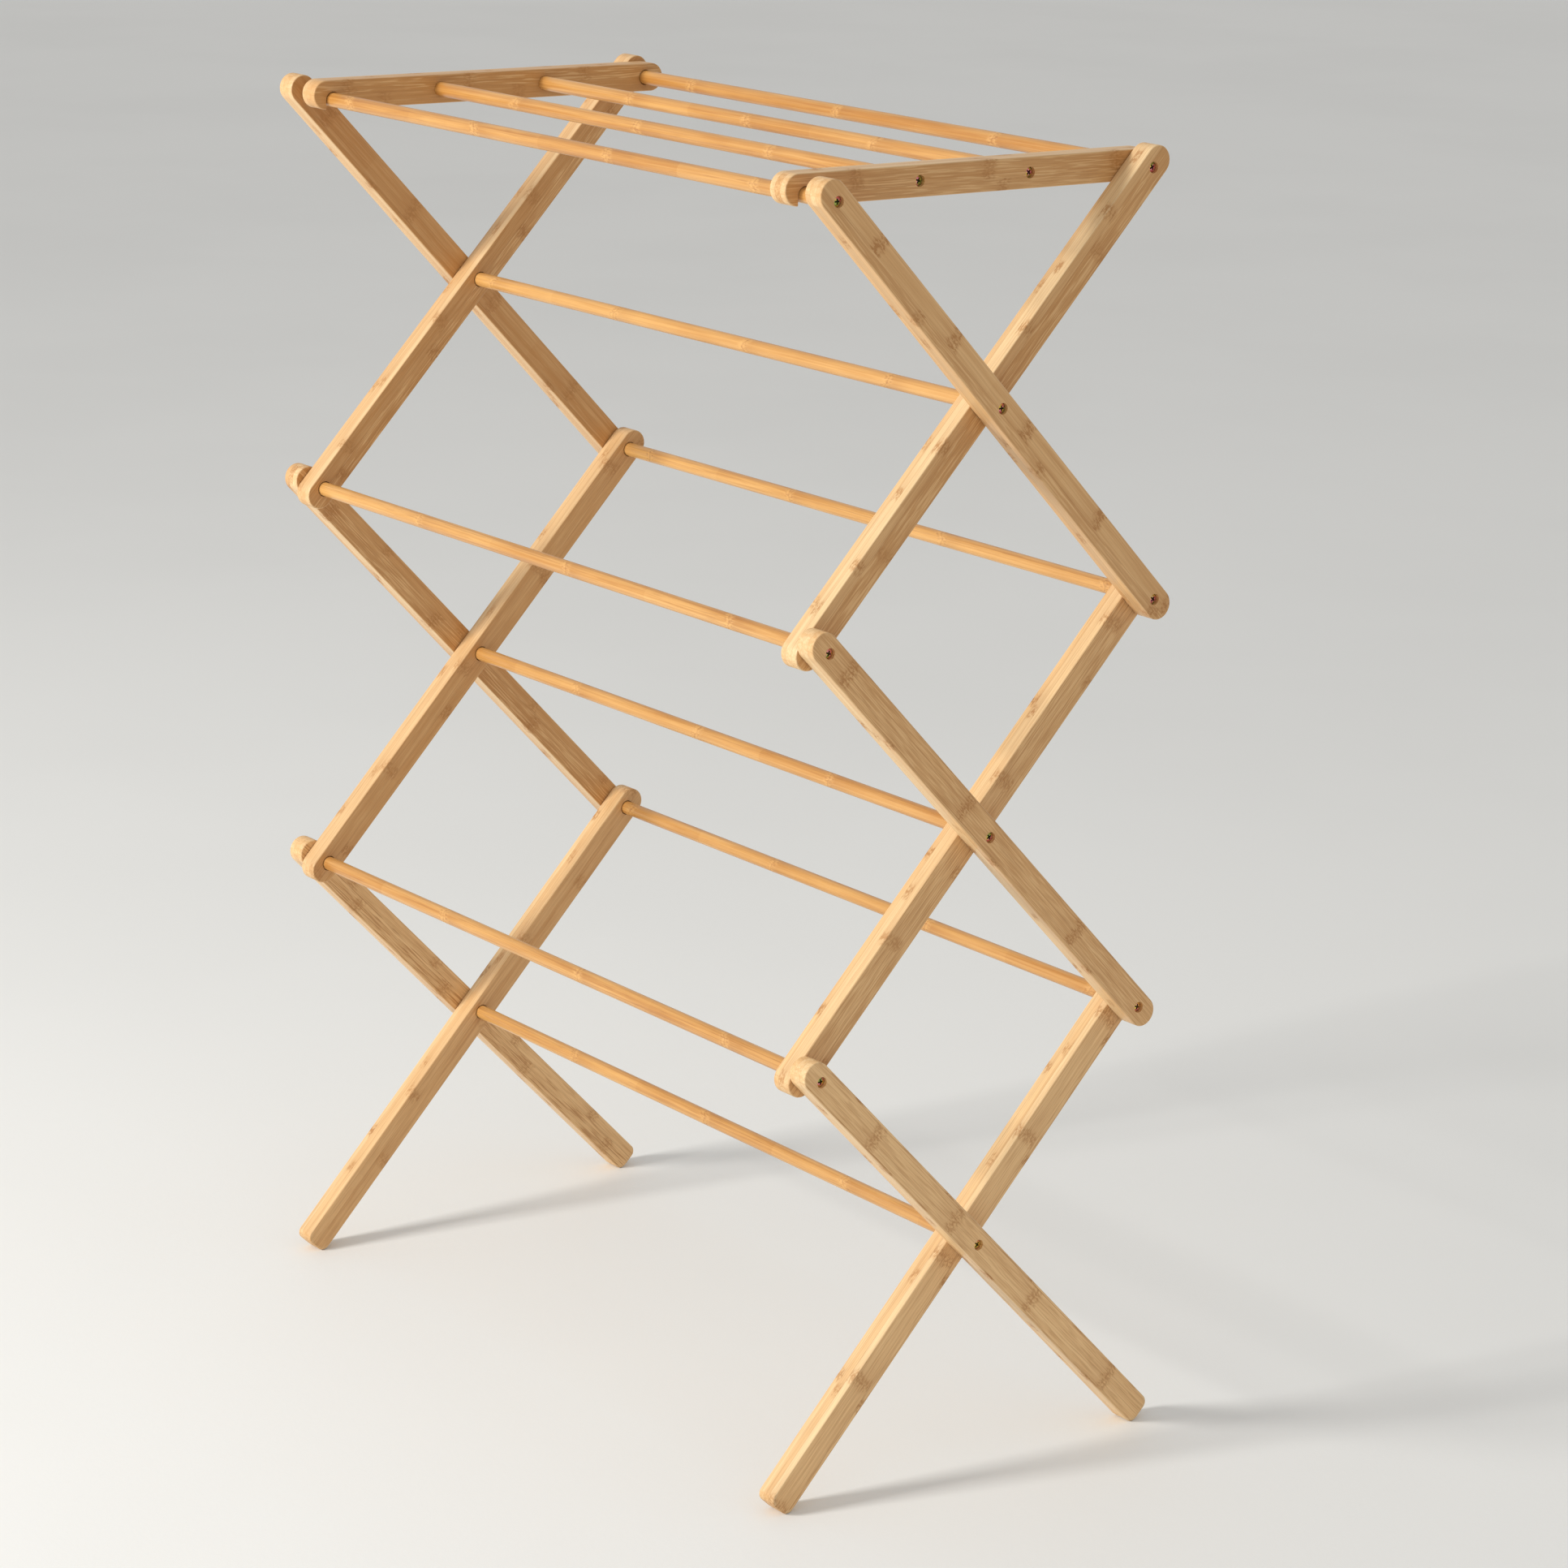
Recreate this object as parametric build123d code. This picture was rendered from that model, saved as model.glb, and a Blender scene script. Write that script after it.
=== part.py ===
"""Folding bamboo clothes drying rack: three tiers of crossed bars, eleven hanging rods, two hooked top rails.

Frame: X runs along the rods (+X is the right-hand side), the front is -Y, and +Z is up.
The origin is on the floor, in the middle of the rack. All sizes are in millimetres.

Each side is a stack of three crossed pairs of bars. Counted from the outside inwards, layer 0 holds
the outer bars (top end at the front), layer 1 the inner bars (top end at the back), and layer 2 the
top rail, which turns on the top back rod and hooks over the top front rod.
"""

import os
from math import asin, atan, cos, degrees, radians, sin

from build123d import *

# Overall layout
overall_width = 740.0          # outer face to outer face of the outer bars
pivot_span = 460.0             # end pivot to end pivot of a side bar
catch_span = 318.0             # top front rod to top back rod when the rails are hooked
leg_reach = 257.0              # lower crossing to the square end of a leg

# Side bars and top rails
bar_width = 24.0
bar_thickness = 19.0
layer_gap = 0.6                # air between neighbouring layers
end_overhang = 18.5            # pivot centre to the tip of a rounded end
leg_corner_radius = 7.0
edge_round = 1.2               # eased long edges

# Rods and their seats
rod_diameter = 12.0
rod_end_round = 0.8
pivot_clearance = 0.6          # radial, rod through an inner bar or through the back of a rail
seat_clearance = 0.1           # radial, rod end in its blind seat
seat_depth = 6.0
seat_end_gap = 0.3             # rod end to the floor of its seat

# Screws
screw_diameter = 4.0
screw_length = 34.0            # under the head
screw_head_diameter = 8.0
screw_head_height = 2.4
screw_head_rim = 1.1           # straight side of the head, below its dome
screw_dome_share = 0.75        # of the dome's height, reached half way out from the crown
screw_tip_length = 4.0
screw_hole_clearance = 0.3     # radial, shank through a bar
screw_pilot_clearance = 0.05   # radial, shank in the end of a rod
screw_pilot_spare = 1.0        # hole beyond the tip of the screw
head_clearance = 0.4           # radial, head in its counterbore
head_seat_gap = 0.1            # head to the floor of its counterbore
counterbore_depth = 4.3
cross_length = 4.6
cross_width = 1.5
cross_depth = 1.6
cross_overcut = 0.2            # the recess is cut from this far above the crown
cross_taper = 10.0             # degrees, walls of the recess
screw_turn_step = 34.0         # degrees from one screw to the next, so that neighbours don't line up

# Hook in the front end of each top rail
hook_drop = 4.0                # rod centre below the middle line of the rail
hook_clearance = 0.6           # radial, rod in the round top of the hook
rail_lift_per_fold = 2.25      # degrees that the rails swing up for each degree of fold
flare_margin = 1.5             # degrees added to the lean of the hook's rear wall

# Derived layout
half_width = overall_width / 2
rod_radius = rod_diameter / 2
layer_pitch = bar_thickness + layer_gap
rest_angle = degrees(asin(catch_span / pivot_span))        # bars from the vertical
tier_height = pivot_span * cos(radians(rest_angle))
half_depth = catch_span / 2
rail_tilt = degrees(asin(hook_drop / catch_span))          # the hooked front end stands higher
rail_rod_pitch = catch_span / 3                            # the two rail rods share the span evenly


def leg_drop():
    """Height of the lower crossing above the floor: the lowest point of a leg's rounded corner."""
    lean = radians(rest_angle)
    corner_along = leg_reach - leg_corner_radius
    corner_across = bar_width / 2 - leg_corner_radius
    return corner_along * cos(lean) + corner_across * sin(lean) + leg_corner_radius


lower_crossing_z = leg_drop()
crossing_z = [lower_crossing_z + tier_height * (2 - tier) for tier in range(3)]
pivot_row_z = [z + tier_height / 2 for z in crossing_z]    # rod rows at the top of each tier
tier_names = ["upper", "middle", "lower"]


def layer_outer_x(layer):
    """Distance from the middle of the rack to the outward face of a layer."""
    return half_width - layer * layer_pitch


def across(radius, length):
    """A round bar along X that starts at the origin and runs inwards, towards the middle of the rack."""
    return Rot(0, -90, 0) * Cylinder(radius, length, align=(Align.CENTER, Align.CENTER, Align.MIN))


# Cuts in a bar. A bar is drawn upright, its outward face at X = 0 and its body on the -X side.

def through_hole(along):
    """Running hole for a rod that passes through the bar."""
    return Pos(0, 0, along) * across(rod_radius + pivot_clearance, bar_thickness)


def screw_seat(along):
    """Counterbore and screw hole from outside, and the blind seat for a rod's end from inside."""
    counterbore = across(screw_head_diameter / 2 + head_clearance, counterbore_depth)
    screw_hole = across(screw_diameter / 2 + screw_hole_clearance, bar_thickness)
    seat = Pos(seat_depth - bar_thickness, 0, 0) * across(rod_radius + seat_clearance, seat_depth)
    return Pos(0, 0, along) * (counterbore + screw_hole + seat)


def hook_slot(along):
    """Slot over the front rod, open downwards, its rear wall leaning away as the rod leaves while folding."""
    radius = rod_radius + hook_clearance
    lean_ratio = pivot_span * cos(radians(rest_angle)) / (rail_lift_per_fold * catch_span)
    lean = degrees(atan(lean_ratio)) + flare_margin
    fall = bar_width
    with BuildSketch(Plane.YZ) as slot:
        with Locations((-hook_drop, along)):
            Circle(radius)
        rear_tangent = (-hook_drop + radius * sin(radians(lean)), along - radius * cos(radians(lean)))
        front_tangent = (-hook_drop, along + radius)
        rear_mouth = (rear_tangent[0] - fall * cos(radians(lean)), rear_tangent[1] - fall * sin(radians(lean)))
        with BuildLine():
            Polyline(
                (-hook_drop, along),
                front_tangent,
                (front_tangent[0] - fall, front_tangent[1]),
                rear_mouth,
                rear_tangent,
                close=True,
            )
        make_face()
    return extrude(slot.sketch, amount=-bar_thickness)


# Bars

def blank(top_reach, bottom_reach, square_foot=False):
    """Upright bar with a fully rounded top, and a rounded bottom or a square foot with rounded corners."""
    top_centre = top_reach - bar_width / 2
    bottom_centre = bottom_reach - bar_width / 2
    with BuildSketch(Plane.YZ) as outline:
        with Locations((0, top_centre)):
            Circle(bar_width / 2)
        if square_foot:
            with Locations((0, top_centre)):
                Rectangle(bar_width, top_centre + bottom_reach, align=(Align.CENTER, Align.MAX))
            fillet(outline.vertices().group_by(Axis.Z)[0], leg_corner_radius)
        else:
            with Locations((0, top_centre)):
                Rectangle(bar_width, top_centre + bottom_centre, align=(Align.CENTER, Align.MAX))
            with Locations((0, -bottom_centre)):
                Circle(bar_width / 2)
    bar = extrude(outline.sketch, amount=-bar_thickness)
    faces = bar.faces().sort_by(Axis.X)
    return fillet(faces[0].edges() + faces[-1].edges(), edge_round)


def side_bar(layer, tier):
    """One crossed bar, upright, with its middle pivot at the origin."""
    half_span = pivot_span / 2
    is_leg = tier == 2
    bottom_reach = leg_reach if is_leg else half_span + end_overhang
    bar = blank(half_span + end_overhang, bottom_reach, is_leg)
    pivots = [half_span, 0.0] if is_leg else [half_span, 0.0, -half_span]
    for along in pivots:
        screwed = layer == 0 or (tier == 0 and along == half_span)
        bar -= screw_seat(along) if screwed else through_hole(along)
    return bar


def top_rail():
    """Rail standing upright with its rear pivot at the origin and its hook at the top; it faces the front at -Y."""
    bar = blank(catch_span * cos(radians(rail_tilt)) + end_overhang, end_overhang)
    bar -= through_hole(0.0)
    bar -= screw_seat(rail_rod_pitch)
    bar -= screw_seat(2 * rail_rod_pitch)
    return bar - hook_slot(catch_span * cos(radians(rail_tilt)))


def on_right(part, layer):
    """Move a bar drawn with its outward face at X = 0 out to its layer on the right-hand side."""
    return Pos(layer_outer_x(layer), 0, 0) * part


def on_left(part, layer):
    """The mirror image of a bar, on the left-hand side."""
    return mirror(on_right(part, layer), Plane.YZ)


# Rods and screws

def rod(outer_layer):
    """Round rod whose ends sit in the seats of the bars in the given layer."""
    seat_floor = layer_outer_x(outer_layer) - bar_thickness + seat_depth
    half_length = seat_floor - seat_end_gap
    stick = Rot(0, 90, 0) * Cylinder(rod_radius, 2 * half_length)
    stick = chamfer(stick.edges().filter_by(GeomType.CIRCLE), rod_end_round)
    screw_tip_x = seated_screw_x(outer_layer) - screw_length
    pilot_depth = half_length - screw_tip_x + screw_pilot_spare
    pilot = Pos(half_length, 0, 0) * across(screw_diameter / 2 + screw_pilot_clearance, pilot_depth)
    return stick - pilot - mirror(pilot, Plane.YZ)


def seated_screw_x(layer):
    """Distance from the middle of the rack to the underside of a screw head in a bar of the given layer."""
    return layer_outer_x(layer) - counterbore_depth + head_seat_gap


def cross_arm():
    """One arm of the cross in a screw head: a slot that narrows on its way down from above the crown."""
    top = Plane(origin=(screw_head_height + cross_overcut, 0, 0), x_dir=(0, 1, 0), z_dir=(-1, 0, 0))
    return extrude(top * Rectangle(cross_length, cross_width), cross_depth + cross_overcut, taper=cross_taper)


def screw(turn):
    """Domed cross-head screw along X, the underside of its head at X = 0 and its shank on the -X side."""
    head_radius = screw_head_diameter / 2
    shank_radius = screw_diameter / 2
    with BuildSketch(Plane.XY) as half_section:
        with BuildLine():
            Polyline(
                (screw_head_height, 0),
                (-screw_length, 0),
                (screw_tip_length - screw_length, shank_radius),
                (0, shank_radius),
                (0, head_radius),
                (screw_head_rim, head_radius),
            )
            ThreePointArc(
                (screw_head_rim, head_radius),
                (screw_head_rim + screw_dome_share * (screw_head_height - screw_head_rim), head_radius / 2),
                (screw_head_height, 0),
            )
        make_face()
    body = revolve(half_section.sketch, Axis.X)
    return body - Rot(turn, 0, 0) * cross_arm() - Rot(turn + 90, 0, 0) * cross_arm()


def screw_pair(number, layer, y, z):
    """The two screws at the ends of one rod, each left at an angle of its own."""
    place = Pos(seated_screw_x(layer), y, z)
    right = place * screw(2 * number * screw_turn_step)
    left = place * screw((2 * number + 1) * screw_turn_step)
    return [right, mirror(left, Plane.YZ)]


# Where each pivot is when the rack stands open

def rail_point(along):
    """Y and Z of a point on a rail's middle line, counted forwards from the top back rod."""
    tilt = radians(rail_tilt)
    return half_depth - along * cos(tilt), pivot_row_z[0] + along * sin(tilt)


rail_front_y, rail_front_z = rail_point(2 * rail_rod_pitch)
rail_back_y, rail_back_z = rail_point(rail_rod_pitch)

# rod name: (layer whose seats hold its ends, y, z)
rods = {
    "top_front_rod": (0, -half_depth, pivot_row_z[0]),
    "top_middle_front_rod": (2, rail_front_y, rail_front_z),
    "top_middle_back_rod": (2, rail_back_y, rail_back_z),
    "top_back_rod": (1, half_depth, pivot_row_z[0]),
    "upper_crossing_rod": (0, 0.0, crossing_z[0]),
    "upper_front_joint_rod": (0, -half_depth, pivot_row_z[1]),
    "upper_back_joint_rod": (0, half_depth, pivot_row_z[1]),
    "middle_crossing_rod": (0, 0.0, crossing_z[1]),
    "lower_front_joint_rod": (0, -half_depth, pivot_row_z[2]),
    "lower_back_joint_rod": (0, half_depth, pivot_row_z[2]),
    "lower_crossing_rod": (0, 0.0, crossing_z[2]),
}

# Screws, grouped by the frame that they hold together
screw_groups = {
    "top_rail_screws": ["top_middle_front_rod", "top_middle_back_rod"],
    "top_back_rod_screws": ["top_back_rod"],
    "upper_frame_screws": ["top_front_rod", "upper_crossing_rod", "upper_back_joint_rod"],
    "middle_frame_screws": ["upper_front_joint_rod", "middle_crossing_rod", "lower_back_joint_rod"],
    "lower_leg_screws": ["lower_front_joint_rod"],
    "lower_crossing_screws": ["lower_crossing_rod"],
}

rod_order = list(rods)

nodes = {}
for tier, tier_name in enumerate(tier_names):
    for layer, layer_name, lean in ((0, "outer", rest_angle), (1, "inner", -rest_angle)):
        kind = "leg" if tier == 2 else "bar"
        place = Pos(0, 0, crossing_z[tier]) * Rot(lean, 0, 0)
        bar = side_bar(layer, tier)
        name = f"{tier_name}_{layer_name}_{kind}"
        nodes[f"right_{name}"] = place * on_right(bar, layer)
        nodes[f"left_{name}"] = place * on_left(bar, layer)

rail_place = Pos(0, half_depth, pivot_row_z[0]) * Rot(90 - rail_tilt, 0, 0)
nodes["right_top_rail"] = rail_place * on_right(top_rail(), 2)
nodes["left_top_rail"] = rail_place * on_left(top_rail(), 2)

for name, (layer, y, z) in rods.items():
    nodes[name] = Pos(0, y, z) * rod(layer)

for name, held_rods in screw_groups.items():
    screws = []
    for held in held_rods:
        screws += screw_pair(rod_order.index(held), *rods[held])
    nodes[name] = Compound(children=screws)

os.makedirs("parts", exist_ok=True)
for name, solid in nodes.items():
    export_step(solid, f"parts/{name}.step")
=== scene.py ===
"""The finish of a folding bamboo clothes drying rack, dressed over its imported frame.

The rack's bars, rails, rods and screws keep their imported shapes. Each one gets a material of its own,
set out along that piece: plies, strips, knuckles and fibres in the bars, turned stripes and knuckle
rings in the rods, and a yellow chromate finish on the screws. All sizes are in metres.
"""

import random
from math import atan2, cos, pi, radians, sin

import bmesh
import bpy
from bpy.props import FloatProperty, FloatVectorProperty, IntProperty, PointerProperty
from mathutils import Matrix, Vector


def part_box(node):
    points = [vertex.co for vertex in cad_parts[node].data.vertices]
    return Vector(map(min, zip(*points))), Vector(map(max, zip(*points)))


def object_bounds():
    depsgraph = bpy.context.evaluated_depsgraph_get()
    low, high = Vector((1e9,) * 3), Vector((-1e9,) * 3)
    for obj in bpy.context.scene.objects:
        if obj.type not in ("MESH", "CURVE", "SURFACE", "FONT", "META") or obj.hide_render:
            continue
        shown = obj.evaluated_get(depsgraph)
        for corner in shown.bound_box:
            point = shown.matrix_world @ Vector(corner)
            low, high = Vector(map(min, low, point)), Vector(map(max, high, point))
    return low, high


bl_info = {
    "name": "Bamboo drying rack finish",
    "version": (1, 0, 0),
    "blender": (4, 5, 0),
    "location": "View3D > Sidebar > Rack",
    "description": "Dresses a folding bamboo drying rack: bars, rails, rods, screws and a plain stage",
    "category": "Object",
}

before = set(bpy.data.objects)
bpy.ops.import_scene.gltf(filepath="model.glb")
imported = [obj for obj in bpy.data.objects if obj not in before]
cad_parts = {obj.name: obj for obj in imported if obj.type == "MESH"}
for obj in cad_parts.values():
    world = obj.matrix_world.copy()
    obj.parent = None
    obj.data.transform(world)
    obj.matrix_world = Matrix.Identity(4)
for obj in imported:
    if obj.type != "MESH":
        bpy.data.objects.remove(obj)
CAD_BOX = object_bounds()

# Side bar: the two rods whose centres lie on its middle line, lower one first
BAR_RODS = {
    "upper_outer_bar": ("upper_back_joint_rod", "top_front_rod"),
    "upper_inner_bar": ("upper_front_joint_rod", "top_back_rod"),
    "middle_outer_bar": ("lower_back_joint_rod", "upper_front_joint_rod"),
    "middle_inner_bar": ("lower_front_joint_rod", "upper_back_joint_rod"),
    "lower_outer_leg": ("lower_crossing_rod", "lower_front_joint_rod"),
    "lower_inner_leg": ("lower_crossing_rod", "lower_back_joint_rod"),
}
RAIL_RODS = {"top_rail": ("top_back_rod", "top_middle_front_rod")}

# Painted shade: how much deeper in colour than the average the bars of each side are painted, the left
# bars standing in shade
SIDE_PAINTED_SHADE = {"left": 0.40, "right": 0.0}

# Kind of bar: how much deeper than the average it is painted, as painted shade on the upper bars and
# rails and painted light (paler) on the lower legs, and how dark its short fibre dashes are
BAR_SHADING_AND_DASHES = {
    "top_rail": (0.27, 0.18),
    "upper_outer_bar": (0.14, 0.18),
    "upper_inner_bar": (0.14, 0.24),
    "middle_outer_bar": (-0.10, 0.28),
    "middle_inner_bar": (-0.10, 0.32),
    "lower_outer_leg": (-0.50, 0.62),
    "lower_inner_leg": (-0.28, 0.42),
}

# Painted shade: how much deeper in colour than the other rods the four top rods are painted
TOP_ROD_PAINTED_SHADE = 0.30

# First random seed of each kind of piece; the pieces of that kind count on from it
BAR_SEED = 11
RAIL_SEED = 41
ROD_SEED = 71
SCREW_SEED = 91

# Size of the features in a bar's bamboo: through the plies, across the bar and along it
BAR_GRAIN = {
    "broad": (0.007, 0.0050, 0.24),
    "fine": (0.0019, 0.0015, 0.19),
    "hair": (0.0008, 0.0006, 0.07),
    "dash": (0.0015, 0.0011, 0.024),
    "thread": (0.0020, 0.0016, 0.150),
    "speckle": (0.0018, 0.0014, 0.0034),
    "ripple": (0.011, 0.009, 0.05),
    "ravel": (0.0022, 0.0018, 0.016),
    "end_fleck": (0.0060, 0.0030, 0.0050),
}

# Size of the features in a rod's bamboo: along the rod, then across it both ways
ROD_GRAIN = {
    "wander": (0.05, 0.0080, 0.0080),
    "broad": (0.26, 0.0050, 0.0050),
    "patch": (0.075, 0.0070, 0.0070),
    "fine": (0.110, 0.0012, 0.0012),
    "dash": (0.026, 0.0008, 0.0008),
    "thread": (0.160, 0.0015, 0.0015),
    "speckle": (0.0040, 0.0012, 0.0012),
}

# Size of the features on the screws and on the floor
SCREW_GRAIN = {
    "film": (0.0060, 0.0040, 0.0040),
    "bloom": (0.0300, 0.0080, 0.0080),
    "scratch": (0.0004, 0.0004, 0.0020),
}
FLOOR_GRAIN = {"cloud": (0.9, 0.9, 0.9), "grit": (0.004, 0.004, 0.004)}

# How much of what lies under it each layer of colour hides where it is strongest
BAR_COVER = {
    "streak": 0.32,
    "rosy": 0.35,
    "hair": 0.18,
    "thread": 0.26,
    "pale_dash": 0.45,
    "halo": 0.16,
    "ridge": 0.30,
    "seam": 0.45,
}
ROD_COVER = {"thread": 0.36, "dash": 0.30, "halo": 0.22, "speck": 0.35, "outline": 0.22}
# The screws' near-black cover is painted shade and grime in the cross
SCREW_COVER = {"green": 0.8, "shade_and_grime": 0.92}

# Height of the bump on the bamboo, the screws and the floor
GRAIN_RELIEF = 0.00006
SCRATCH_RELIEF = 0.00002
GRIT_RELIEF = 0.00008

# A knuckle has a thin line round its middle, from the line's edge in to its core
RIDGE_EDGE = 0.0011
RIDGE_CORE = 0.0002

# What a knuckle's spacing may gain over the shortest
BAR_SPACING_GAIN = 0.08
ROD_SPACING_GAIN = 0.07

# Glue lines of a bar, and how deep under its two broad faces those between plies fade in
PLY_SEAM_HALF = 0.00026
STRIP_SEAM_HALF = 0.00022
SEAM_FADE = (0.0005, 0.0012)

# Eased edge of a bar: how far in from its outline the edge's colour starts and is full
EASE_START = 0.0010
EASE_FULL = 0.0002

# Steps that give each ply, strip and internode a number of its own, and the strips and knuckles
# counted before the middle of a bar, which keep its counts above zero
PLY_STEP = 3.17
STRIP_STEP = 7.31
INTERNODE_STEP = 1.7
STRIPS_BEFORE = 10.0
KNUCKLES_BEFORE = 20.0


# Shader helpers

class Signal:
    """A number that a shader node gives out. Arithmetic on it adds Math nodes to the same graph."""

    def __init__(self, graph, socket):
        self.graph = graph
        self.socket = socket

    def math(self, operation, *values):
        return self.graph.math(operation, self, *values)

    def __add__(self, other):
        return self.math("ADD", other)

    def __radd__(self, other):
        return self.math("ADD", other)

    def __sub__(self, other):
        return self.math("SUBTRACT", other)

    def __rsub__(self, other):
        return self.graph.math("SUBTRACT", other, self)

    def __mul__(self, other):
        return self.math("MULTIPLY", other)

    def __rmul__(self, other):
        return self.math("MULTIPLY", other)

    def __truediv__(self, other):
        return self.math("DIVIDE", other)

    def __pow__(self, other):
        return self.math("POWER", other)

    def __abs__(self):
        return self.math("ABSOLUTE")

    def floor(self):
        return self.math("FLOOR")

    def fraction(self):
        return self.math("FRACT")

    def ramp(self, low, high):
        """0 below low, 1 above high, with a smooth climb between them; low may be the larger."""
        settings = {"interpolation_type": "SMOOTHSTEP"}
        sockets = {"Value": self, "From Min": low, "From Max": high}
        return self.graph.signal("ShaderNodeMapRange", settings, sockets, "Result")


class Graph:
    """The shader graph of one new material."""

    def __init__(self, name):
        self.material = bpy.data.materials.new(name)
        self.material.use_nodes = True
        self.tree = self.material.node_tree
        self.tree.nodes.clear()

    def node(self, kind, settings=None, sockets=None):
        """Add a node: its settings first, then the values or links of its input sockets."""
        made = self.tree.nodes.new(kind)
        for key, value in (settings or {}).items():
            setattr(made, key, value)
        for key, value in (sockets or {}).items():
            if isinstance(value, Signal):
                value = value.socket
            if isinstance(value, bpy.types.NodeSocket):
                self.tree.links.new(value, made.inputs[key])
            else:
                made.inputs[key].default_value = value
        return made

    def signal(self, kind, settings, sockets, output):
        return Signal(self, self.node(kind, settings, sockets).outputs[output])

    def math(self, operation, *values):
        return self.signal("ShaderNodeMath", {"operation": operation}, dict(enumerate(values)), 0)

    def vector_math(self, operation, *values):
        made = self.node("ShaderNodeVectorMath", {"operation": operation}, dict(enumerate(values)))
        return made.outputs[0]

    def mix_colour(self, factor, base, layer):
        """Lay one colour over another; sockets 6 and 7 of a Mix node are its two colours."""
        sockets = {0: factor, 6: base, 7: layer}
        return self.node("ShaderNodeMix", {"data_type": "RGBA"}, sockets).outputs[2]

    def object_point(self, centre, lean=0.0):
        """Object coordinates centred on a piece and turned to run along it."""
        position = self.node("ShaderNodeTexCoord").outputs["Object"]
        sockets = {"Vector": position, "Location": centre, "Rotation": (lean, 0.0, 0.0)}
        return self.node("ShaderNodeMapping", {"vector_type": "TEXTURE"}, sockets).outputs[0]

    def split(self, vector):
        parts = self.node("ShaderNodeSeparateXYZ", None, {0: vector})
        return [Signal(self, part) for part in parts.outputs]

    def noise(self, point, grain, shift=(0.0, 0.0, 0.0), detail=2.0):
        """Noise whose features are about grain metres in size along each axis."""
        counts = tuple(1 / size for size in grain)
        stretched = self.vector_math("MULTIPLY", point, counts)
        moved = self.vector_math("ADD", stretched, shift)
        sockets = {"Vector": moved, "Scale": 1.0, "Detail": detail, "Roughness": 0.55}
        return self.signal("ShaderNodeTexNoise", None, sockets, "Fac")

    def random_triple(self, number):
        """Three unrelated values from 0 to 1 that are the same wherever the number is."""
        made = self.node("ShaderNodeTexWhiteNoise", {"noise_dimensions": "1D"}, {"W": number})
        parts = self.node("ShaderNodeSeparateColor", None, {0: made.outputs["Color"]})
        return [Signal(self, part) for part in parts.outputs]

    def finish(self, colour, roughness, height, relief, constants):
        """Close the graph with one surface shader and a bump of the given relief in metres."""
        sockets = {"Height": height, "Distance": relief, "Strength": 1.0}
        bump = self.node("ShaderNodeBump", None, sockets)
        shader_sockets = {
            "Base Color": colour, "Roughness": roughness, "Normal": bump.outputs[0], **constants,
        }
        shader = self.node("ShaderNodeBsdfPrincipled", None, shader_sockets)
        self.node("ShaderNodeOutputMaterial", None, {"Surface": shader.outputs[0]})
        return self.material


def opaque(colour):
    """A colour property with its alpha."""
    return (*colour, 1.0)


def dress(node_name, material):
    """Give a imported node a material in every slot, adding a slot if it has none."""
    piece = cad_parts[node_name]
    if not piece.material_slots:
        piece.data.materials.append(material)
    for place in piece.material_slots:
        place.material = material


# Where a piece lies

def middle(node_name):
    """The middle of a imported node's box."""
    low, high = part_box(node_name)
    return (low + high) / 2


class BarPlace:
    """Where a bar lies: its centre, its lean about X, and its half sizes through, across and along."""

    def __init__(self, node_name, low_rod, high_rod):
        run = middle(high_rod) - middle(low_rod)
        self.lean = atan2(-run.y, run.z)
        upright = Matrix.Rotation(-self.lean, 3, "X")
        corners = [upright @ vertex.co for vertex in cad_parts[node_name].data.vertices]
        low = Vector([min(corner[axis] for corner in corners) for axis in range(3)])
        high = Vector([max(corner[axis] for corner in corners) for axis in range(3)])
        self.centre = upright.transposed() @ ((low + high) / 2)
        self.half = (high - low) / 2


# Properties that a user would change

class RackBarLook(bpy.types.PropertyGroup):
    """Laminated bamboo of the side bars and top rails."""

    pale: FloatVectorProperty(
        name="Pale strip", description="Colour of the palest strips", subtype="COLOR",
        default=(0.87, 0.570, 0.275), min=0.0, max=1.0)
    deep: FloatVectorProperty(
        name="Deep strip", description="Colour of the deepest strips", subtype="COLOR",
        default=(0.56, 0.275, 0.086), min=0.0, max=1.0)
    side_grain: FloatVectorProperty(
        name="Side grain", description="Colour of the narrow edges, cut through the plies",
        subtype="COLOR", default=(0.88, 0.68, 0.40), min=0.0, max=1.0)
    end_grain: FloatVectorProperty(
        name="End grain", description="Colour of the fibre ends round a rounded end",
        subtype="COLOR", default=(0.60, 0.315, 0.10), min=0.0, max=1.0)
    fibre: FloatVectorProperty(
        name="Fibre", description="Colour of the dark fibre bundles", subtype="COLOR",
        default=(0.33, 0.140, 0.038), min=0.0, max=1.0)
    knuckle: FloatVectorProperty(
        name="Knuckle", description="Colour of the bands where a leaf grew", subtype="COLOR",
        default=(0.42, 0.180, 0.045), min=0.0, max=1.0)
    plies: IntProperty(name="Plies", description="Layers through the thickness", default=3, min=1)
    strip_width: FloatProperty(
        name="Strip width", description="Width of one bamboo strip", default=0.0205,
        unit="LENGTH")
    knuckle_spacing: FloatProperty(
        name="Knuckle spacing", description="Shortest run between two knuckles", default=0.102,
        unit="LENGTH")
    knuckle_half: FloatProperty(
        name="Knuckle half length", description="From the middle of a knuckle to its end",
        default=0.0085, unit="LENGTH")
    roughness: FloatProperty(
        name="Roughness", description="Roughness of the satin lacquer", default=0.46,
        subtype="FACTOR", min=0.0, max=1.0)


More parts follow.
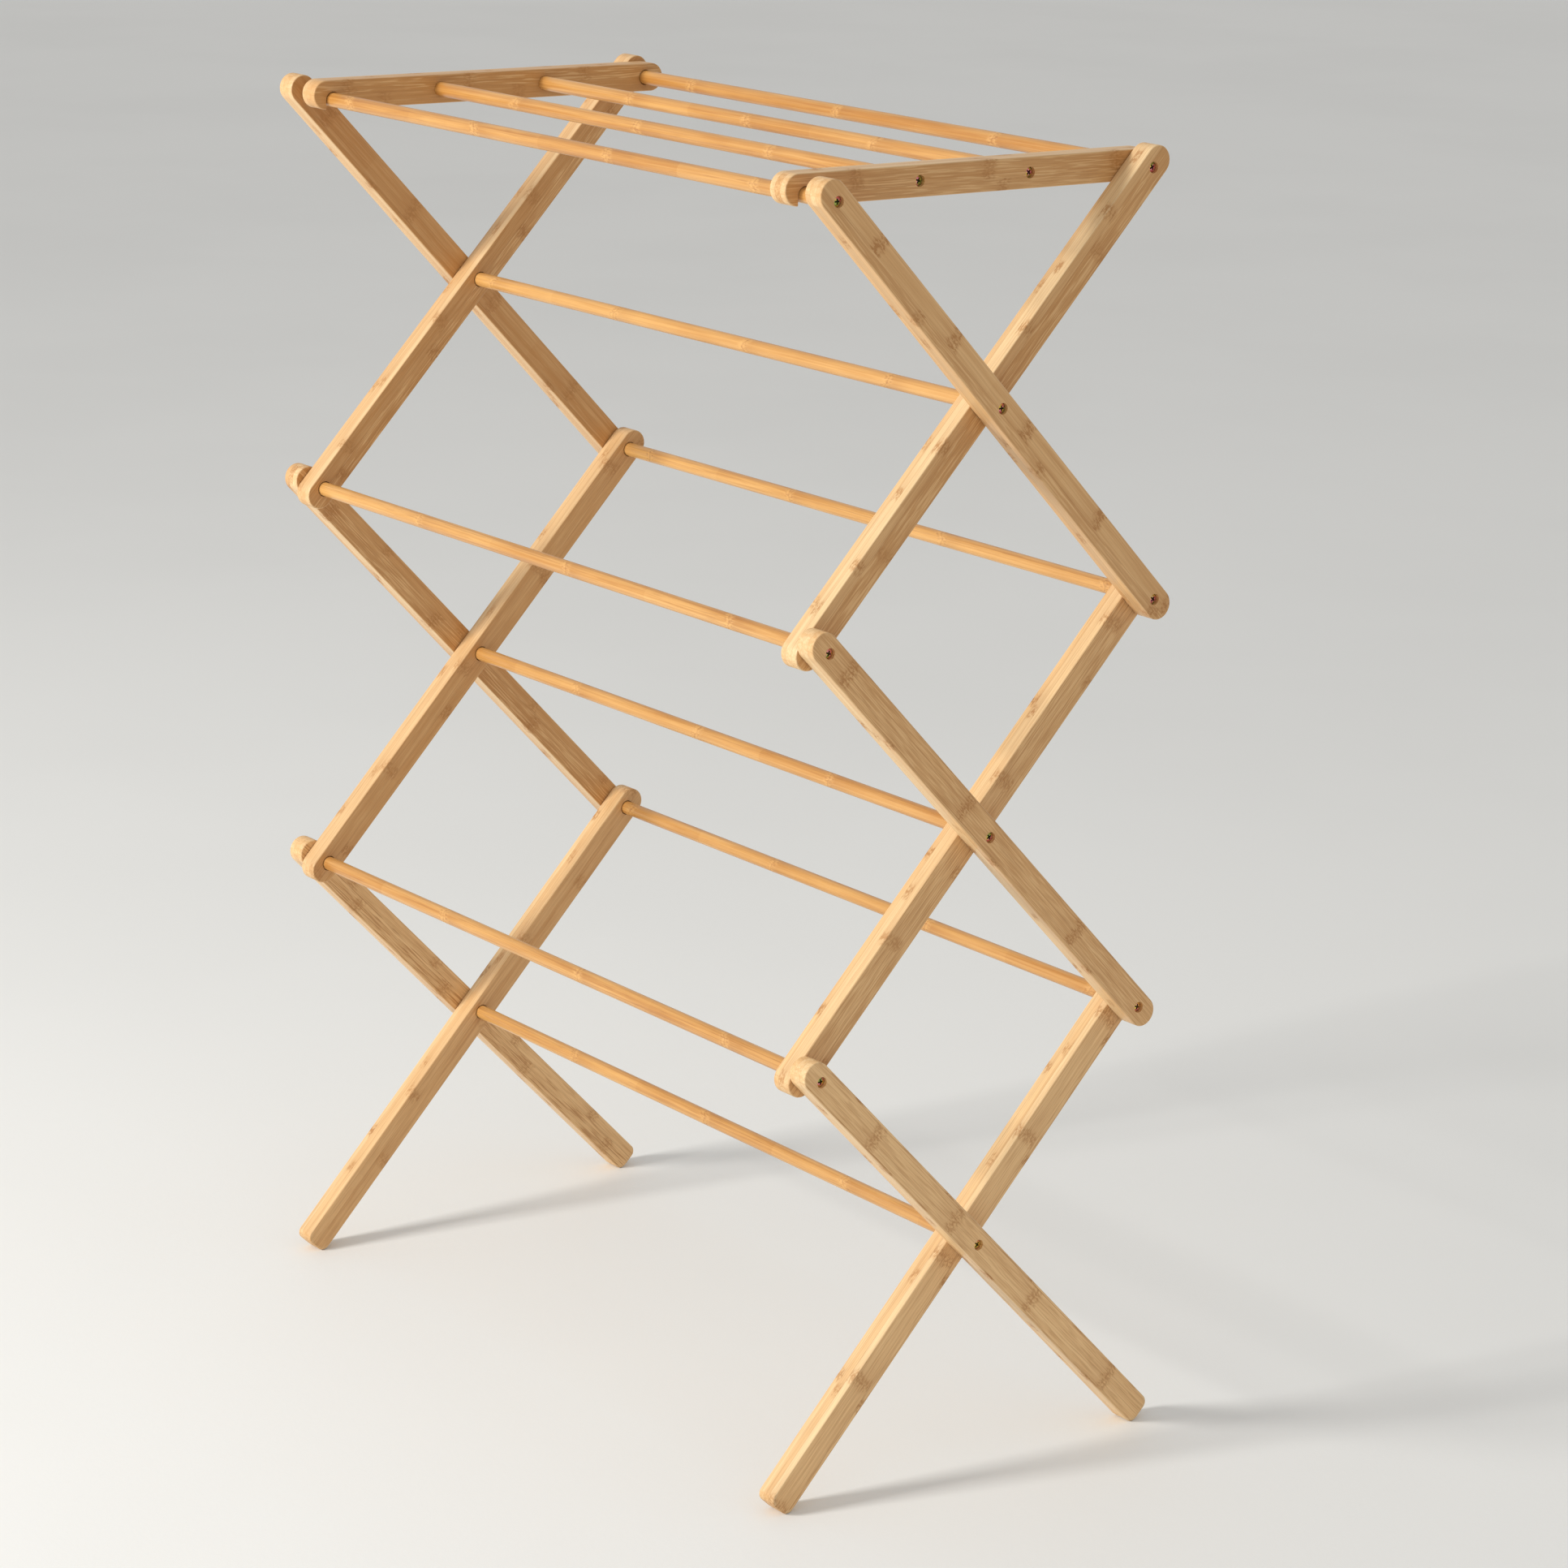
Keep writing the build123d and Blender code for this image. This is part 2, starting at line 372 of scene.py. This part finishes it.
class RackRodLook(bpy.types.PropertyGroup):
    """Turned bamboo of the hanging rods."""

    pale: FloatVectorProperty(
        name="Pale side", description="Colour of the soft side of the culm", subtype="COLOR",
        default=(0.73, 0.415, 0.138), min=0.0, max=1.0)
    deep: FloatVectorProperty(
        name="Deep side", description="Colour of the dense side of the culm", subtype="COLOR",
        default=(0.49, 0.215, 0.044), min=0.0, max=1.0)
    fibre: FloatVectorProperty(
        name="Fibre", description="Colour of the dark fibre bundles", subtype="COLOR",
        default=(0.30, 0.105, 0.022), min=0.0, max=1.0)
    knuckle_spacing: FloatProperty(
        name="Knuckle spacing", description="Shortest run between two knuckle rings",
        default=0.155, unit="LENGTH")
    roughness: FloatProperty(
        name="Roughness", description="Roughness of the satin lacquer", default=0.36,
        subtype="FACTOR", min=0.0, max=1.0)


class RackScrewLook(bpy.types.PropertyGroup):
    """Yellow chromate on the screws."""

    gold: FloatVectorProperty(
        name="Gold", description="Main colour of the chromate film", subtype="COLOR",
        default=(0.95, 0.70, 0.12), min=0.0, max=1.0)
    rose: FloatVectorProperty(
        name="Rose", description="Colour where the film is thicker", subtype="COLOR",
        default=(0.93, 0.33, 0.36), min=0.0, max=1.0)
    green: FloatVectorProperty(
        name="Green", description="Colour where the film is thickest", subtype="COLOR",
        default=(0.33, 0.52, 0.13), min=0.0, max=1.0)
    # Painted shade and grime: the near-black colour of the recess of the cross
    shade_and_grime: FloatVectorProperty(
        name="Shade and grime", description="Colour inside the cross", subtype="COLOR",
        default=(0.022, 0.016, 0.012), min=0.0, max=1.0)
    rim_below_crown: FloatProperty(
        name="Rim below crown", description="From the crown of the head down to its rim",
        default=0.0012, unit="LENGTH")


class RackStageLook(bpy.types.PropertyGroup):
    """Floor, lights and camera."""

    floor_colour: FloatVectorProperty(
        name="Floor", description="Colour of the plain floor", subtype="COLOR",
        default=(0.86, 0.88, 0.885), min=0.0, max=1.0)
    sky_colour: FloatVectorProperty(
        name="Surroundings", description="Colour of the light from all round", subtype="COLOR",
        default=(1.0, 0.975, 0.94), min=0.0, max=1.0)
    sky_strength: FloatProperty(
        name="Surroundings strength", description="Strength of the light from all round",
        default=0.60, min=0.0)
    key_power: FloatProperty(
        name="Key power", description="Power of the soft box at the front", default=142.0,
        min=0.0, unit="POWER")
    key_size: FloatProperty(
        name="Key size", description="Side of the soft box", default=0.9, unit="LENGTH")
    key_distance: FloatProperty(
        name="Key distance", description="From the rack to the soft box", default=4.2,
        unit="LENGTH")
    key_turn: FloatProperty(
        name="Key turn", description="How far the soft box stands round to the left",
        default=radians(14), subtype="ANGLE")
    key_height: FloatProperty(
        name="Key height", description="How steeply the soft box shines down",
        default=radians(24), subtype="ANGLE")
    camera_at: FloatVectorProperty(
        name="Camera", description="Where the camera stands", subtype="TRANSLATION",
        default=(2.914, -2.154, 1.488), unit="LENGTH")
    camera_turn: FloatProperty(
        name="Camera turn", description="How far the view is turned from the back wall to the left",
        default=radians(52.47), subtype="ANGLE")
    camera_tilt: FloatProperty(
        name="Camera tilt", description="How far the view points below level",
        default=radians(15.52), subtype="ANGLE")
    camera_roll: FloatProperty(
        name="Camera roll", description="How far the camera leans", default=radians(0.95),
        subtype="ANGLE")
    focal_length: FloatProperty(
        name="Focal length", description="In millimetres, on a 36 mm wide sensor",
        default=104.2, min=1.0)


# Bamboo bars

def bar_material(name, place, look, painted_shading, dash_share, seed):
    """Laminated bamboo set out along one bar: x runs through the plies, y across, z along."""
    graph = Graph(name)
    draw = random.Random(seed)
    shift = tuple(draw.uniform(0.0, 100.0) for _ in range(3))
    point = graph.object_point(place.centre, place.lean)
    x, y, z = graph.split(point)

    # One cell is one strip of one ply, with random values of its own
    ply_thickness = 2 * place.half.x / look.plies
    ply_place = x / ply_thickness + look.plies / 2
    ply = ply_place.floor().math("MAXIMUM", 0.0).math("MINIMUM", look.plies - 1.0)
    ply_start = graph.random_triple(ply + shift[0])[0]
    strip_place = y / look.strip_width + ply_start + STRIPS_BEFORE
    cell = ply * PLY_STEP + strip_place.floor() * STRIP_STEP + shift[1]
    tone, start, turn = graph.random_triple(cell)
    spread, warmth, mottle = graph.random_triple(cell + 0.5)

    # The culm is dense on its outer side, which faces up in some strips and down in others
    depth = ply_place - ply
    turned = turn.ramp(0.49, 0.51)
    density = turned + depth * (1.0 - 2.0 * turned)

    # Fibres run along the bar, and start afresh in each strip
    fibre_point = graph.node(
        "ShaderNodeCombineXYZ", None, {0: x, 1: y + cell * 0.01, 2: z}).outputs[0]
    broad = graph.noise(fibre_point, BAR_GRAIN["broad"], shift)
    fine = graph.noise(fibre_point, BAR_GRAIN["fine"], shift, 3.0)
    hair = graph.noise(fibre_point, BAR_GRAIN["hair"], shift[::-1], 1.0)
    dashes = graph.noise(fibre_point, BAR_GRAIN["dash"], shift, 0.8)
    threads = graph.noise(fibre_point, BAR_GRAIN["thread"], shift[::-1], 1.5)
    speckle = graph.noise(fibre_point, BAR_GRAIN["speckle"], shift, 1.5)
    streak = fine.ramp(0.34, 0.66)
    dash = dashes.ramp(0.51, 0.63) * (0.45 + 0.55 * density)
    pale_dash = dashes.ramp(0.46, 0.36) * (0.30 + 0.70 * density)
    thread = threads.ramp(0.50, 0.66) * (0.40 + 0.60 * density)

    # Knuckles, whose stain ravels out along the fibres
    spacing = look.knuckle_spacing + BAR_SPACING_GAIN * spread
    ripple = graph.noise(point, BAR_GRAIN["ripple"], shift, 0.0)
    ravel = graph.noise(fibre_point, BAR_GRAIN["ravel"], shift[::-1])
    run = z / spacing + start + KNUCKLES_BEFORE
    beside = (run.fraction() - 0.5) * spacing + (ripple - 0.5) * 0.005
    away = abs(beside)
    band = (away + (ravel - 0.5) * 0.012).ramp(look.knuckle_half, 0.35 * look.knuckle_half)
    ridge = away.ramp(RIDGE_EDGE, RIDGE_CORE)
    halo = away.ramp(4.0 * look.knuckle_half, 0.0) * beside.ramp(-0.002, 0.004)
    internode = graph.random_triple(cell + run.floor() * INTERNODE_STEP)[0]

    # Rounded edges and ends, where the cut runs across the plies
    round_centre = place.half.z - place.half.y
    past_end = (abs(z) - round_centre).math("MAXIMUM", 0.0)
    outline = (y * y + past_end * past_end) ** 0.5
    edge = outline.ramp(place.half.y - EASE_START, place.half.y - EASE_FULL)
    end_cut = (past_end / place.half.y).ramp(0.10, 0.80) * edge
    end_fleck = graph.noise(point, BAR_GRAIN["end_fleck"], shift, 1.0).ramp(0.38, 0.66)

    # Glue lines between plies and between strips
    ply_seam = abs(ply_place.fraction() - 0.5).ramp(0.5 - PLY_SEAM_HALF / ply_thickness, 0.5)
    inside = abs(x).ramp(*(place.half.x - sunk for sunk in SEAM_FADE))
    strip_start = 0.5 - STRIP_SEAM_HALF / look.strip_width
    strip_seam = abs(strip_place.fraction() - 0.5).ramp(strip_start, 0.5)
    seam = (ply_seam * inside).math("MAXIMUM", strip_seam)

    # Colour
    pale, deep, side_grain = (opaque(c) for c in (look.pale, look.deep, look.side_grain))
    fibre, knuckle, end_grain = (opaque(c) for c in (look.fibre, look.knuckle, look.end_grain))
    ply_tone = graph.random_triple(ply + shift[2])[1]
    # Painted light and shade: painted_shading makes the whole bar paler or deeper, on top of its
    # strips' own tones
    ripe_and_shading = (0.36 + painted_shading + 0.30 * (tone - 0.5) + 0.90 * (broad - 0.5)
            + 0.15 * (internode - 0.5) + 0.10 * (density - 0.5))
    colour = graph.mix_colour(ripe_and_shading.math("MINIMUM", 1.0).math("MAXIMUM", 0.0), pale, deep)
    colour = graph.mix_colour(streak * BAR_COVER["streak"], colour, deep)
    rosy = opaque(Vector(look.deep) * 1.08)
    colour = graph.mix_colour(warmth.ramp(0.55, 1.0) * BAR_COVER["rosy"], colour, rosy)
    colour = graph.mix_colour(edge * (0.80 - 0.55 * ply_tone), colour, side_grain)
    colour = graph.mix_colour(edge * (0.04 + 0.16 * streak), colour, deep)
    on_face = 1.0 - 0.65 * edge
    colour = graph.mix_colour(hair.ramp(0.50, 0.66) * BAR_COVER["hair"], colour, fibre)
    colour = graph.mix_colour(thread * BAR_COVER["thread"] * on_face, colour, knuckle)
    colour = graph.mix_colour(pale_dash * BAR_COVER["pale_dash"] * on_face, colour, pale)
    colour = graph.mix_colour(dash * dash_share * on_face, colour, knuckle)
    colour = graph.mix_colour(end_cut * (0.04 + 0.34 * end_fleck), colour, end_grain)
    colour = graph.mix_colour(halo * BAR_COVER["halo"], colour, knuckle)
    stain = band * (0.16 + 0.66 * speckle.ramp(0.42, 0.58)) * (0.55 + 0.45 * mottle)
    colour = graph.mix_colour(stain, colour, knuckle)
    colour = graph.mix_colour(ridge * BAR_COVER["ridge"] * (0.4 + speckle), colour, knuckle)
    colour = graph.mix_colour(seam * BAR_COVER["seam"], colour, fibre)

    roughness = look.roughness + 0.14 * (fine - 0.5) + 0.10 * band + 0.14 * end_cut
    height = fine * 0.5 - dash * 0.6 - seam * 0.5 + band * speckle * 0.7 - ridge * 0.3
    constants = {"Coat Weight": 0.12, "Coat Roughness": 0.25, "Specular IOR Level": 0.45}
    return graph.finish(colour, roughness, height, GRAIN_RELIEF, constants)


def dress_bars(bar_rods, look, first_seed):
    """Dress each bar of both sides with bamboo of its own, made paler or deeper by kind and side as
    painted light and shade.
    """
    seed = first_seed
    for side in SIDE_PAINTED_SHADE:
        for name, (low_rod, high_rod) in bar_rods.items():
            node_name = f"{side}_{name}"
            place = BarPlace(node_name, low_rod, high_rod)
            painted_shading, dash_share = BAR_SHADING_AND_DASHES[name]
            painted_shading += SIDE_PAINTED_SHADE[side]
            material = bar_material(
                node_name + "_bamboo", place, look, painted_shading, dash_share, seed)
            dress(node_name, material)
            seed += 1


class RackSideBars(bpy.types.Operator):
    """Dress the twelve crossed side bars and legs in laminated bamboo"""

    bl_idname = "rack.side_bars"
    bl_label = "Side bars"

    def execute(self, context):
        dress_bars(BAR_RODS, context.scene.rack_bars, BAR_SEED)
        return {"FINISHED"}


class RackTopRails(bpy.types.Operator):
    """Dress the two hooked top rails in laminated bamboo"""

    bl_idname = "rack.top_rails"
    bl_label = "Top rails"

    def execute(self, context):
        dress_bars(RAIL_RODS, context.scene.rack_bars, RAIL_SEED)
        return {"FINISHED"}


# Bamboo rods

def rod_material(name, centre, radius, look, painted_shading, seed):
    """Turned bamboo set out along one rod: x runs along it, y and z across."""
    graph = Graph(name)
    draw = random.Random(seed)
    shift = tuple(draw.uniform(0.0, 100.0) for _ in range(3))
    dense_angle = draw.uniform(0.0, 2 * pi)
    spacing = look.knuckle_spacing + draw.uniform(0.0, ROD_SPACING_GAIN)
    ripe_shift = draw.uniform(-0.20, 0.20)
    point = graph.object_point(centre)
    x, y, z = graph.split(point)

    # One side of the rod comes from the dense outside of the culm
    density = 0.5 + (y * cos(dense_angle) + z * sin(dense_angle)) * (0.5 / radius)

    # Knuckle rings lean a little and wander where the fibres cross
    wander = graph.noise(point, ROD_GRAIN["wander"], shift, 1.0)
    run = x / spacing + shift[1]
    lean = (y * sin(dense_angle) - z * cos(dense_angle)) * 0.45
    beside = (run.fraction() - 0.5) * spacing + (wander - 0.5) * 0.012 + lean
    away = abs(beside)
    ring = away.ramp(RIDGE_EDGE, RIDGE_CORE)
    outline = abs(away - 0.0042).ramp(0.0022, 0.0002)
    swell = away.ramp(0.0085, 0.0030)
    halo = away.ramp(0.040, 0.0) * beside.ramp(-0.002, 0.003)
    internode = graph.random_triple(run.floor() * INTERNODE_STEP + shift[2])[0]

    # Patches and fibres run along the rod
    broad = graph.noise(point, ROD_GRAIN["broad"], shift)
    patch = graph.noise(point, ROD_GRAIN["patch"], shift[::-1])
    fine = graph.noise(point, ROD_GRAIN["fine"], shift, 3.0)
    dashes = graph.noise(point, ROD_GRAIN["dash"], shift, 1.0)
    threads = graph.noise(point, ROD_GRAIN["thread"], shift[::-1], 2.0)
    speckle = graph.noise(point, ROD_GRAIN["speckle"], shift, 2.0)
    streak = fine.ramp(0.34, 0.66)
    dash = dashes.ramp(0.56, 0.72) * (0.2 + 0.8 * density)
    thread = threads.ramp(0.48, 0.68) * (0.35 + 0.65 * density)

    # Colour
    pale, deep, fibre = (opaque(c) for c in (look.pale, look.deep, look.fibre))
    # Painted shade: painted_shading deepens the top rods, on top of their own tones
    ripe_and_shading = (0.44 + painted_shading + ripe_shift + 0.30 * (density - 0.5) + 0.9 * (broad - 0.5)
            + 0.8 * (patch - 0.5) + 0.25 * (internode - 0.5) + 0.34 * (streak - 0.5))
    colour = graph.mix_colour(ripe_and_shading.math("MINIMUM", 1.0).math("MAXIMUM", 0.0), pale, deep)
    colour = graph.mix_colour(thread * ROD_COVER["thread"], colour, fibre)
    colour = graph.mix_colour(dash * ROD_COVER["dash"], colour, fibre)
    colour = graph.mix_colour(halo * ROD_COVER["halo"], colour, fibre)
    colour = graph.mix_colour(swell * (0.20 + 0.40 * speckle.ramp(0.56, 0.40)), colour, pale)
    speck = swell * speckle.ramp(0.54, 0.68)
    colour = graph.mix_colour(speck * ROD_COVER["speck"], colour, fibre)
    broken_outline = outline * speckle.ramp(0.36, 0.66)
    colour = graph.mix_colour(broken_outline * ROD_COVER["outline"], colour, fibre)
    colour = graph.mix_colour(ring * (0.16 + 0.34 * speckle), colour, fibre)

    roughness = look.roughness + 0.14 * (fine - 0.5) + 0.12 * swell
    height = fine * 0.5 - dash * 0.6 + swell * speckle * 0.8 - ring * 0.6
    constants = {"Coat Weight": 0.25, "Coat Roughness": 0.2, "Specular IOR Level": 0.5}
    return graph.finish(colour, roughness, height, GRAIN_RELIEF, constants)


class RackRods(bpy.types.Operator):
    """Dress the eleven hanging rods in turned bamboo"""

    bl_idname = "rack.rods"
    bl_label = "Rods"

    def execute(self, context):
        look = context.scene.rack_rods
        rod_names = sorted(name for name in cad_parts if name.endswith("_rod"))
        for seed, node_name in enumerate(rod_names, ROD_SEED):
            low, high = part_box(node_name)
            radius = (high.z - low.z) / 2
            # Painted shade: the top rods are painted deeper in colour
            painted_shading = TOP_ROD_PAINTED_SHADE if node_name.startswith("top_") else 0.0
            material = rod_material(
                node_name + "_bamboo", middle(node_name), radius, look, painted_shading, seed)
            dress(node_name, material)
        return {"FINISHED"}


# Screws

def screw_material(name, node_name, look, seed):
    """Iridescent chromate on steel, with painted shade and grime, near black, on the walls and floor of
    the cross and below its rim.
    """
    graph = Graph(name)
    draw = random.Random(seed)
    shift = tuple(draw.uniform(0.0, 100.0) for _ in range(3))
    point = graph.object_point((0.0, 0.0, 0.0))
    x = graph.split(point)[0]
    facing = graph.split(graph.node("ShaderNodeTexCoord").outputs["Normal"])[0]
    rim_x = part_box(node_name)[1].x - look.rim_below_crown
    film = graph.noise(point, SCREW_GRAIN["film"], shift, 1.0)
    bloom = graph.noise(point, SCREW_GRAIN["bloom"], shift[::-1], 1.0)
    scratch = graph.noise(point, SCREW_GRAIN["scratch"], shift, 2.0)

    # Above the rim only the cross has walls, and of what lies below it only the cross's floor shows
    wall = abs(facing).ramp(0.6, 0.3) * abs(x).ramp(rim_x, rim_x + 0.0001)
    below = abs(x).ramp(rim_x - 0.0001, rim_x - 0.0002)
    # Painted shade and grime: the cross's walls and floor and all below the rim are laid near black
    shade_and_grime_mask = wall.math("MAXIMUM", below)
    colour = graph.mix_colour(film.ramp(0.42, 0.58), opaque(look.gold), opaque(look.rose))
    green = bloom.ramp(0.52, 0.64) * SCREW_COVER["green"]
    colour = graph.mix_colour(green, colour, opaque(look.green))
    colour = graph.mix_colour(shade_and_grime_mask * SCREW_COVER["shade_and_grime"], colour, opaque(look.shade_and_grime))
    roughness = 0.28 + 0.20 * scratch + 0.3 * shade_and_grime_mask
    return graph.finish(colour, roughness, scratch, SCRATCH_RELIEF, {"Metallic": 0.75})


class RackScrews(bpy.types.Operator):
    """Finish the screws in yellow chromate"""

    bl_idname = "rack.screws"
    bl_label = "Screws"

    def execute(self, context):
        look = context.scene.rack_screws
        screw_names = sorted(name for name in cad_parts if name.endswith("_screws"))
        for seed, node_name in enumerate(screw_names, SCREW_SEED):
            material = screw_material(node_name + "_chromate", node_name, look, seed)
            dress(node_name, material)
        return {"FINISHED"}


# Stage

FLOOR_HALF = 16.0
FLOOR_DROP = 0.0004
FLOOR_CLOUD_SHADE = 0.975
KEY_COLOUR = (1.0, 0.96, 0.90)


def floor_material(look):
    """Plain matt floor with a faint unevenness."""
    graph = Graph("stage_floor")
    point = graph.object_point((0.0, 0.0, 0.0))
    cloud = graph.noise(point, FLOOR_GRAIN["cloud"], (3.0, 7.0, 1.0), 3.0)
    grit = graph.noise(point, FLOOR_GRAIN["grit"], (1.0, 2.0, 3.0), 2.0)
    shade = opaque(Vector(look.floor_colour) * FLOOR_CLOUD_SHADE)
    colour = graph.mix_colour(cloud.ramp(0.35, 0.7), opaque(look.floor_colour), shade)
    roughness = 0.55 + 0.1 * cloud
    return graph.finish(colour, roughness, grit, GRIT_RELIEF, {"Specular IOR Level": 0.3})


def build_floor(look):
    """Lay the floor just under the feet."""
    sheet = bmesh.new()
    bmesh.ops.create_grid(sheet, x_segments=1, y_segments=1, size=FLOOR_HALF)
    bmesh.ops.translate(sheet, verts=sheet.verts, vec=(0.0, 0.0, -FLOOR_DROP))
    mesh = bpy.data.meshes.new("stage_floor")
    sheet.to_mesh(mesh)
    sheet.free()
    mesh.materials.append(floor_material(look))
    floor = bpy.data.objects.new("stage_floor", mesh)
    bpy.context.scene.collection.objects.link(floor)


def aim(obj, place, target):
    """Stand a light at a place and point it at the target."""
    turn = (target - place).to_track_quat("-Z", "Y")
    obj.matrix_world = Matrix.Translation(place) @ turn.to_matrix().to_4x4()


def add_area_light(name, place, target, size, power, colour):
    """Stand a square light at a place, pointing at the target."""
    light = bpy.data.lights.new(name, "AREA")
    light.shape = "SQUARE"
    light.size = size
    light.energy = power
    light.color = colour
    lamp = bpy.data.objects.new(name, light)
    bpy.context.scene.collection.objects.link(lamp)
    aim(lamp, place, target)


def build_lights(look):
    """A soft box at the front left and an even, pale surround."""
    target = (CAD_BOX[0] + CAD_BOX[1]) / 2
    level = cos(look.key_height)
    towards_key = Vector(
        (-sin(look.key_turn) * level, -cos(look.key_turn) * level, sin(look.key_height)))
    add_area_light("key_soft_box", target + towards_key * look.key_distance, target,
                   look.key_size, look.key_power, KEY_COLOUR)
    world = bpy.data.worlds.new("studio")
    world.use_nodes = True
    backdrop = world.node_tree.nodes["Background"]
    backdrop.inputs["Color"].default_value = opaque(look.sky_colour)
    backdrop.inputs["Strength"].default_value = look.sky_strength
    bpy.context.scene.world = world


def build_camera(look):
    """Stand the camera at the front right, turned, tilted and leaned as set."""
    camera = bpy.data.cameras.new("studio_camera")
    camera.sensor_width = 36.0
    camera.lens = look.focal_length
    camera.clip_end = 100.0
    viewer = bpy.data.objects.new("studio_camera", camera)
    bpy.context.scene.collection.objects.link(viewer)
    viewer.matrix_world = (
        Matrix.Translation(Vector(look.camera_at))
        @ Matrix.Rotation(look.camera_turn, 4, "Z")
        @ Matrix.Rotation(pi / 2 - look.camera_tilt, 4, "X")
        @ Matrix.Rotation(look.camera_roll, 4, "Z")
    )
    bpy.context.scene.camera = viewer


class RackStage(bpy.types.Operator):
    """Build the plain floor, the studio light and the camera"""

    bl_idname = "rack.stage"
    bl_label = "Stage"

    def execute(self, context):
        look = context.scene.rack_stage
        build_floor(look)
        build_lights(look)
        build_camera(look)
        context.scene.view_settings.view_transform = "Standard"
        return {"FINISHED"}


# Sidebar panel and registration

OPERATORS = (RackSideBars, RackTopRails, RackRods, RackScrews, RackStage)
LOOKS = {
    "rack_bars": RackBarLook,
    "rack_rods": RackRodLook,
    "rack_screws": RackScrewLook,
    "rack_stage": RackStageLook,
}


class RackPanel(bpy.types.Panel):
    """Lists the finishing steps and their settings"""

    bl_idname = "VIEW3D_PT_rack"
    bl_label = "Drying rack"
    bl_space_type = "VIEW_3D"
    bl_region_type = "UI"
    bl_category = "Rack"

    def draw(self, context):
        for operator in OPERATORS:
            self.layout.operator(operator.bl_idname)
        for name in LOOKS:
            look = getattr(context.scene, name)
            box = self.layout.box()
            for key in look.bl_rna.properties.keys():
                if key not in {"rna_type", "name"}:
                    box.prop(look, key)


def register():
    for cls in (*LOOKS.values(), *OPERATORS, RackPanel):
        bpy.utils.register_class(cls)
    for name, cls in LOOKS.items():
        setattr(bpy.types.Scene, name, PointerProperty(type=cls))


def unregister():
    for name in LOOKS:
        delattr(bpy.types.Scene, name)
    for cls in reversed((*LOOKS.values(), *OPERATORS, RackPanel)):
        bpy.utils.unregister_class(cls)


def main():
    register()
    bpy.ops.rack.side_bars()
    bpy.ops.rack.top_rails()
    bpy.ops.rack.rods()
    bpy.ops.rack.screws()
    bpy.ops.rack.stage()


if __name__ == "__main__":
    main()
